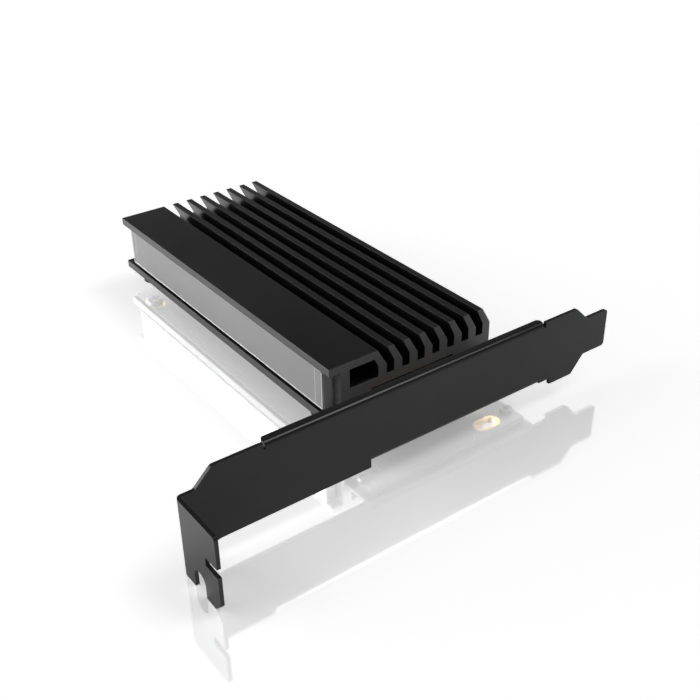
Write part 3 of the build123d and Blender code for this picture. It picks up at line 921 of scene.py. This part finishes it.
@dataclass
class BoardWork:
    """The lacquered tracks and the plated holes of the circuit board."""

    bench: Bench
    track_width: float = 0.22 * MM
    track_height: float = 0.018 * MM
    contact_pitch: float = 1.0 * MM
    contact_half: float = 0.35 * MM
    near_contacts: int = 11
    far_contacts: int = 21
    stub_length: float = 3.4 * MM
    lane_count: int = 16
    lane_pitch: float = 0.55 * MM
    lane_margin: float = 2.0 * MM
    corner: float = 1.6 * MM
    ring_radii: Span = (0.14 * MM, 0.3 * MM)
    ring_height: float = 0.0234 * MM
    ring_steps: int = 12
    thermal_pitch: float = 5.0 * MM
    thermal_shift: float = 0.25
    thermal_clearance: float = 1.5 * MM
    lanes_start: float = -14.0 * MM

    def build(self) -> None:
        """Build the tracks and the rings of both faces."""
        for face in Face:
            self._tracks(face)
            self._rings(face)

    def _level(self, face: Face) -> float:
        """Return the height of a board face."""
        low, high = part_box("circuit_board")
        return high.z if face is Face.COMPONENT else low.z

    def _contact_rows(self) -> list[float]:
        """Return the contacts' places along the card, read from the two blocks' ends."""
        low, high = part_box("edge_contacts")
        near = [
            low.y + self.contact_half + index * self.contact_pitch
            for index in range(self.near_contacts)
        ]
        far = [
            high.y - self.contact_half - index * self.contact_pitch
            for index in range(self.far_contacts)
        ]
        return near + far[::-1]

    def _lanes(self) -> list[list[Point]]:
        """Return the routes of the lanes, in pairs, from the contacts to the drive's socket."""
        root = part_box("edge_contacts")[0].x
        low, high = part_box("m2_socket")
        rows = self._contact_rows()[-self.lane_count :]
        routes = []
        for index, row in enumerate(reversed(rows)):
            column = high.x - self.lane_margin - (index + index // 2) * self.lane_pitch
            turn = [(column + self.corner, row), (column, row + self.corner)]
            routes.append([(root, row), *turn, (column, low.y - self.lane_margin)])
        return routes

    def _stubs(self) -> list[list[Point]]:
        """Return the short tracks that join the other contacts to their plated holes."""
        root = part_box("edge_contacts")[0].x
        rows = self._contact_rows()[: -self.lane_count]
        return [
            [(root, row), (root - self.stub_length - (index % 2) * self.contact_pitch, row)]
            for index, row in enumerate(rows)
        ]

    def _tracks(self, face: Face) -> None:
        """Build one face's tracks.

        Args:
            face: The board face that carries them.
        """
        mesh = bmesh.new()
        routes = self._stubs() + (self._lanes() if face is Face.SOLDER else self._top_runs())
        height = face.value * self.track_height
        for route in routes:
            add_plate(mesh, ribbon(route, self.track_width), self._level(face), height)
        self.bench.piece(f"{face.name.lower()}_tracks", mesh, TRACK_LACQUER, "solder_mask")

    def _top_runs(self) -> list[list[Point]]:
        """Return the component face's runs, that pass straight in under the heatsink."""
        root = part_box("edge_contacts")[0].x
        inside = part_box("heatsink")[1].x - self.lane_margin
        rows = self._contact_rows()[-self.lane_count :]
        return [[(root, row), (inside, row)] for row in rows]

    def _rings(self, face: Face) -> None:
        """Build one face's plated holes.

        Args:
            face: The board face that carries them.
        """
        mesh = bmesh.new()
        places = [route[-1] for route in self._stubs()]
        if face is Face.SOLDER:
            places += [route[-1] for route in self._lanes()] + self._thermal_places()
        height = face.value * self.ring_height
        for place in places:
            add_ring(mesh, place, self.ring_radii, self._level(face), height, self.ring_steps)
        self.bench.piece(f"{face.name.lower()}_plated_holes", mesh, GOLD, "gold_plating")

    def _thermal_places(self) -> list[Point]:
        """Return the grid of thermal holes under the copper field."""
        low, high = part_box("upper_thermal_pad")
        places = []
        columns = int((high.x - low.x) / self.thermal_pitch)
        rows = int((high.y - low.y) / self.thermal_pitch)
        for column in range(columns + 1):
            for row in range(rows + 1):
                x = (low.x + high.x) / 2 + (column - columns / 2) * self.thermal_pitch
                y = (low.y + high.y) / 2 + (row - rows / 2) * self.thermal_pitch
                places.append((x + self.thermal_shift * self.thermal_pitch * (row % 2), y))
        lanes_left = min(route[-1][0] for route in self._lanes()) - self.thermal_clearance
        return [(x, y) for x, y in places if x < lanes_left or y < self.lanes_start]


@dataclass(frozen=True)
class LampRow:
    """The row of lamps on the board, as the solids hold them."""

    count: int = 6
    length: float = 2.0 * MM

    def starts(self, near: float, far: float) -> list[float]:
        """Return where each lamp begins along the card.

        Args:
            near: The row's near end.
            far: The row's far end.

        Returns:
            The lamps' near ends, in order.
        """
        pitch = (far - near - self.length) / (self.count - 1)
        return [near + index * pitch for index in range(self.count)]


@dataclass
class LampWork:
    """The domed light windows of the lamps on the board."""

    bench: Bench
    row: LampRow = LampRow()
    window_radius: float = 0.42 * MM
    window_rise: float = 0.1 * MM
    rings: int = 5
    steps: int = 20

    def build(self) -> None:
        """Build a domed window on each lamp."""
        low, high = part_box("light_leds")
        middle = (low.x + high.x) / 2
        mesh = bmesh.new()
        for start in self.row.starts(low.y, high.y):
            self._dome(mesh, Vector((middle, start + self.row.length / 2, high.z)))
        self.bench.piece("lamp_windows", mesh, PHOSPHOR, "lamp_lens")

    def _dome(self, mesh: bmesh.types.BMesh, centre: Vector) -> None:
        """Add one low dome.

        Args:
            mesh: The mesh that receives it.
            centre: The middle of its foot.
        """
        crown = mesh.verts.new(centre + Vector((0.0, 0.0, self.window_rise)))
        last: Loop = []
        for ring in range(1, self.rings + 1):
            angle = math.pi / 2 * ring / self.rings
            rise = Vector((0.0, 0.0, self.window_rise * math.cos(angle)))
            loop = circle(mesh, centre + rise, self.window_radius * math.sin(angle), self.steps)
            if last:
                join_loops(mesh, last, loop)
            else:
                for step, corner in enumerate(loop):
                    mesh.faces.new((crown, corner, loop[(step + 1) % self.steps]))
            last = loop
        mesh.faces.new(last)


@dataclass
class SolderWork:
    """The solder that holds the lamps, and the drive's standoff from the solder side."""

    bench: Bench
    row: LampRow = LampRow()
    width_share: float = 0.8
    lamp_reach: float = 0.35 * MM
    lamp_rise: float = 0.3 * MM
    stem_radius: float = 1.8 * MM
    ring_reach: float = 0.6 * MM
    ring_rise: float = 0.25 * MM
    ring_steps: int = 36
    face_parts: int = 5

    def build(self) -> None:
        """Build the lamps' fillets and the standoff's ring."""
        self._lamp_fillets()
        self._standoff_ring()

    def _section(self, reach: float, rise: float) -> list[Point]:
        """Return the hollow-faced section of a fillet, from its corner round to its toe.

        Args:
            reach: How far it spreads over the board.
            rise: How far it climbs.

        Returns:
            Distance from the wetted wall, and height above the board.
        """
        section = [(0.0, 0.0)]
        for index in range(self.face_parts + 1):
            share = index / self.face_parts
            section.append((reach * share, rise * (1.0 - math.sqrt(1.0 - (1.0 - share) ** 2))))
        return section

    def _lamp_fillets(self) -> None:
        """Build a fillet at both ends of each lamp."""
        low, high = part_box("light_leds")
        middle = (low.x + high.x) / 2
        half = self.width_share * (high.x - low.x) / 2
        section = self._section(self.lamp_reach, self.lamp_rise)
        mesh = bmesh.new()
        for start in self.row.starts(low.y, high.y):
            for wall, side in ((start, -1), (start + self.row.length, 1)):
                ends = [
                    [mesh.verts.new((x, wall + side * out, low.z + up)) for out, up in section]
                    for x in (middle - half, middle + half)
                ]
                join_loops(mesh, ends[0], ends[1])
                mesh.faces.new(ends[0])
                mesh.faces.new(ends[1])
        self.bench.piece("lamp_solder", mesh, SOLDER, "contact_metal")

    def _standoff_ring(self) -> None:
        """Build the ring round the standoff's stem."""
        low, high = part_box("m2_standoff")
        foot = Vector(((low.x + high.x) / 2, (low.y + high.y) / 2, low.z))
        mesh = bmesh.new()
        loops = []
        for out, down in self._section(self.ring_reach, self.ring_rise):
            centre = foot - Vector((0.0, 0.0, down))
            loops.append(circle(mesh, centre, self.stem_radius + out, self.ring_steps))
        for side, loop in enumerate(loops):
            join_loops(mesh, loop, loops[(side + 1) % len(loops)])
        self.bench.piece("standoff_solder", mesh, SOLDER, "contact_metal")


@dataclass
class BarWork:
    """The ridges on the light bar's outer face: lower edge, ends and clear bands, coloured pale as
    a painted highlight.
    """

    bench: Bench
    edge_width: float = 0.36 * MM
    line_width: float = 0.24 * MM
    proud: float = 0.06 * MM
    end_band: float = 2.8 * MM
    hip_share: float = 0.25
    profile: tuple[Point, ...] = ((-1.0, 0.0), (-0.55, 0.8), (0.0, 1.0), (0.55, 0.8), (1.0, 0.0))

    def build(self) -> None:
        """Build the ridges in one piece."""
        low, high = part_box("light_bar")
        half = self.edge_width / 2
        foot, crown = low.z + half, high.z - half
        near, far = low.y + half, high.y - half
        mesh = bmesh.new()
        self._ridge(mesh, low.x, (near, foot), (far, foot), self.edge_width)
        for place in (near, far):
            self._ridge(mesh, low.x, (place, foot), (place, crown), self.edge_width)
        for place in (low.y + self.end_band, high.y - self.end_band):
            self._ridge(mesh, low.x, (place, foot), (place, crown), self.line_width)
        self.bench.piece("light_bar_ridges", mesh, RIDGE_HIGHLIGHT_ACRYLIC, "frosted_acrylic")

    def _ridge(
        self, mesh: bmesh.types.BMesh, level: float, start: Point, end: Point, width: float
    ) -> None:
        """Add a low rounded ridge with hipped ends.

        Args:
            mesh: The mesh that receives it.
            level: The bar's outer face, across the card.
            start: Where the ridge starts, along the card and in height.
            end: Where it ends.
            width: Its width.
        """
        along = (Vector(end) - Vector(start)).normalized()
        across = Vector((-along.y, along.x)) * (width / 2)
        rows = []
        for place, sign in ((Vector(start), 1), (Vector(end), -1)):
            row = []
            for side, rise in self.profile:
                spot = place + across * side + along * (sign * rise * width * self.hip_share)
                row.append(mesh.verts.new((level - rise * self.proud, spot.x, spot.y)))
            rows.append(row)
        join_loops(mesh, rows[0], rows[1])
        mesh.faces.new(rows[0])
        mesh.faces.new(rows[1])


class Reach(Enum):
    """What a lamp's light is seen in."""

    EVERYTHING = "everything"
    REFLECTIONS = "reflections"
    MATT = "matt light"


@dataclass(frozen=True)
class Lamp:
    """One lamp that is aimed at the card; a sun's size is its angle, any other's its width."""

    name: str
    kind: str
    place: tuple[float, float, float]
    size: float
    power: float
    reach: Reach = Reach.EVERYTHING

    def hang(self) -> None:
        """Add the lamp to the scene."""
        data = bpy.data.lights.new(self.name, self.kind)
        if self.kind == "SUN":
            data.angle = self.size
        else:
            data.size = self.size
        data.energy = self.power
        made = new_object(self.name, data)
        made.location = self.place
        made.rotation_mode = "QUATERNION"
        made.rotation_quaternion = (-Vector(self.place)).to_track_quat("-Z", "Y")
        made.visible_diffuse = self.reach is not Reach.REFLECTIONS
        made.visible_glossy = self.reach is not Reach.MATT


LAMPS = (
    Lamp("left_softbox", "AREA", (-0.70, 0.28, 0.40), 0.5, 3.2),
    Lamp("low_softbox", "AREA", (-0.46, 0.52, 0.14), 0.26, 1.9),
    Lamp("edge_softbox", "AREA", (0.38, -0.28, 0.80), 0.32, 2.4, Reach.REFLECTIONS),
    Lamp("front_softbox", "AREA", (0.35, -0.75, 0.4), 0.6, 0.9, Reach.MATT),
    Lamp("high_lamp", "SUN", (0.5, -0.2, 0.84), math.radians(26), 1.5, Reach.MATT),
)


@dataclass
class Studio:
    """The floor, the lamps and the camera."""

    camera_place: tuple[float, float, float] = (-171.1 * MM, -203.6 * MM, 139.4 * MM)
    forward: tuple[float, float, float] = (0.4999, 0.6926, -0.5199)
    picture_right: tuple[float, float, float] = (0.8058, -0.5920, -0.0139)
    lens: float = 53.2
    sensor_width: float = 36.0
    seen_depth: Span = (0.01, 50.0)
    floor_size: float = 12.0
    floor_colour: Colour = (0.86, 0.86, 0.86, 1.0)
    floor_lift: float = 0.30
    mirror_share: float = 0.6
    mirror_gain: float = 5.5
    floor_roughness: float = 0.07
    sky_level: float = 0.42
    overhead_band: Span = (0.08, 0.30)
    overhead_gloss: Span = (1.0, 0.10)
    underneath_band: Span = (-0.3, -0.05)
    underneath_gloss: Span = (0.3, 1.0)

    def build(self) -> None:
        """Set up the whole studio."""
        self._camera()
        self._floor()
        self._world()
        for lamp in LAMPS:
            lamp.hang()
        bpy.context.scene.view_settings.view_transform = "Standard"

    def _camera(self) -> None:
        """Place the camera where the photograph was taken from."""
        forward = Vector(self.forward).normalized()
        right = Vector(self.picture_right)
        right = (right - forward * right.dot(forward)).normalized()
        turned = Matrix((right, right.cross(forward), -forward)).transposed()
        data = bpy.data.cameras.new("camera")
        data.lens = self.lens
        data.sensor_width = self.sensor_width
        data.clip_start, data.clip_end = self.seen_depth
        made = new_object("camera", data)
        made.matrix_world = Matrix.Translation(self.camera_place) @ turned.to_4x4()
        bpy.context.scene.camera = made

    def _floor(self) -> None:
        """Build the pale polished floor at the card's lowest point."""
        low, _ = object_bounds()
        mesh = bmesh.new()
        half = self.floor_size / 2
        corners = [(-half, -half), (half, -half), (half, half), (-half, half)]
        mesh.faces.new([mesh.verts.new((x, y, low.z)) for x, y in corners])
        data = bpy.data.meshes.new("floor")
        mesh.to_mesh(data)
        mesh.free()
        data.materials.append(self._floor_material())
        floor = new_object("floor", data)
        floor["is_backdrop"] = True

    def _floor_material(self) -> bpy.types.Material:
        """Build the floor's material: matt white with a polish, and clear when seen from below."""
        made = bpy.data.materials.new("pale_floor")
        made.use_nodes = True
        tree = made.node_tree
        tree.nodes.clear()
        graph = Graph(tree)
        matt = graph.add("ShaderNodeBsdfDiffuse", {"Color": self.floor_colour})
        seen = graph.add("ShaderNodeLightPath").outputs["Is Camera Ray"]
        shine = (self.mirror_gain, self.mirror_gain, self.mirror_gain, 1.0)
        gloss = {"Color": shine, "Roughness": self.floor_roughness}
        polish = graph.add("ShaderNodeBsdfAnisotropic", gloss)
        share = graph.math("MULTIPLY", seen, self.mirror_share)
        parts = {0: share, 1: matt.outputs[0], 2: polish.outputs[0]}
        mirrored = graph.add("ShaderNodeMixShader", parts)
        lift = graph.math("MULTIPLY", seen, self.floor_lift)
        glow = graph.add("ShaderNodeEmission", {"Strength": lift})
        both = graph.add("ShaderNodeAddShader", {0: mirrored.outputs[0], 1: glow.outputs[0]})
        below = graph.add("ShaderNodeNewGeometry").outputs["Backfacing"]
        clear = graph.add("ShaderNodeBsdfTransparent").outputs[0]
        sided = graph.add("ShaderNodeMixShader", {0: below, 1: both.outputs[0], 2: clear})
        graph.add("ShaderNodeOutputMaterial", {"Surface": sided.outputs[0]})
        return made

    def _world(self) -> None:
        """Light the scene from all round, and show white to the camera and to reflections."""
        world = bpy.data.worlds.new("studio")
        world.use_nodes = True
        bpy.context.scene.world = world
        tree = world.node_tree
        tree.nodes.clear()
        graph = Graph(tree)
        rays = graph.add("ShaderNodeLightPath").outputs
        shown = graph.math("MAXIMUM", rays["Is Camera Ray"], rays["Is Transmission Ray"])
        place = graph.add("ShaderNodeTexCoord").outputs["Generated"]
        height = graph.add("ShaderNodeSeparateXYZ", {0: place}).outputs["Z"]
        overhead = graph.span(height, self.overhead_band, self.overhead_gloss)
        underneath = graph.span(height, self.underneath_band, self.underneath_gloss)
        glossy = rays["Is Glossy Ray"]
        gloss = graph.math("MULTIPLY", glossy, graph.math("MULTIPLY", overhead, underneath))
        matt = graph.math("MULTIPLY", graph.math("SUBTRACT", 1.0, glossy), self.sky_level)
        strength = graph.math("MAXIMUM", graph.math("MAXIMUM", shown, gloss), matt)
        light = graph.add("ShaderNodeBackground", {"Color": WHITE, "Strength": strength})
        graph.add("ShaderNodeOutputWorld", {"Surface": light.outputs[0]})


def main() -> None:
    """Dress the card, build its fine work and set up the studio."""
    logging.basicConfig(level=logging.INFO, format="%(name)s: %(message)s")
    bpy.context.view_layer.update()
    paint = PaintShop()
    paint.dress_nodes(frame["nodes"])
    bench = Bench(paint)
    BoardWork(bench).build()
    LampWork(bench).build()
    SolderWork(bench).build()
    BarWork(bench).build()
    Studio().build()


if __name__ == "__main__":
    main()
